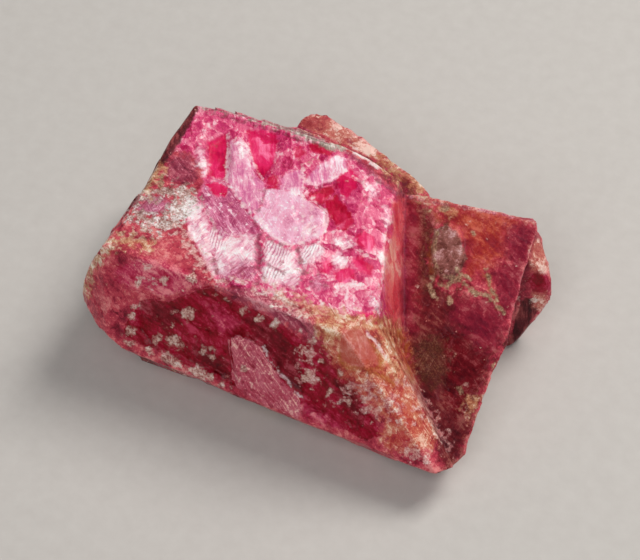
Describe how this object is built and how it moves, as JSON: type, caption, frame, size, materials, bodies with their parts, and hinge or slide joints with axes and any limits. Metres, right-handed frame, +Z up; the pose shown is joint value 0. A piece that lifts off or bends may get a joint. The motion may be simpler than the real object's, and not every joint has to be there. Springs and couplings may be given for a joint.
{
  "type": "raw spinel crystal",
  "caption": "Raw opaque pink-red spinel crystal group with flat flaked faces, a re-entrant valley and a crystal grown through its back; lies on its flat underside.",
  "frame": {"origin": "on the surface that the crystal lies on, under the middle of its outline seen from above", "axes": "+Z up, +X along the long front ridge towards the end with the valley, +Y away from the front face"},
  "size_m": [0.0312, 0.0246, 0.0107],
  "materials": {
    "spinel": "translucent to opaque pink-red crystal, glossy on fresh fractures and matte on its skin"
  },
  "bodies": {
    "root": {"spinel_crystal": "spinel"}
  },
  "joints": []
}
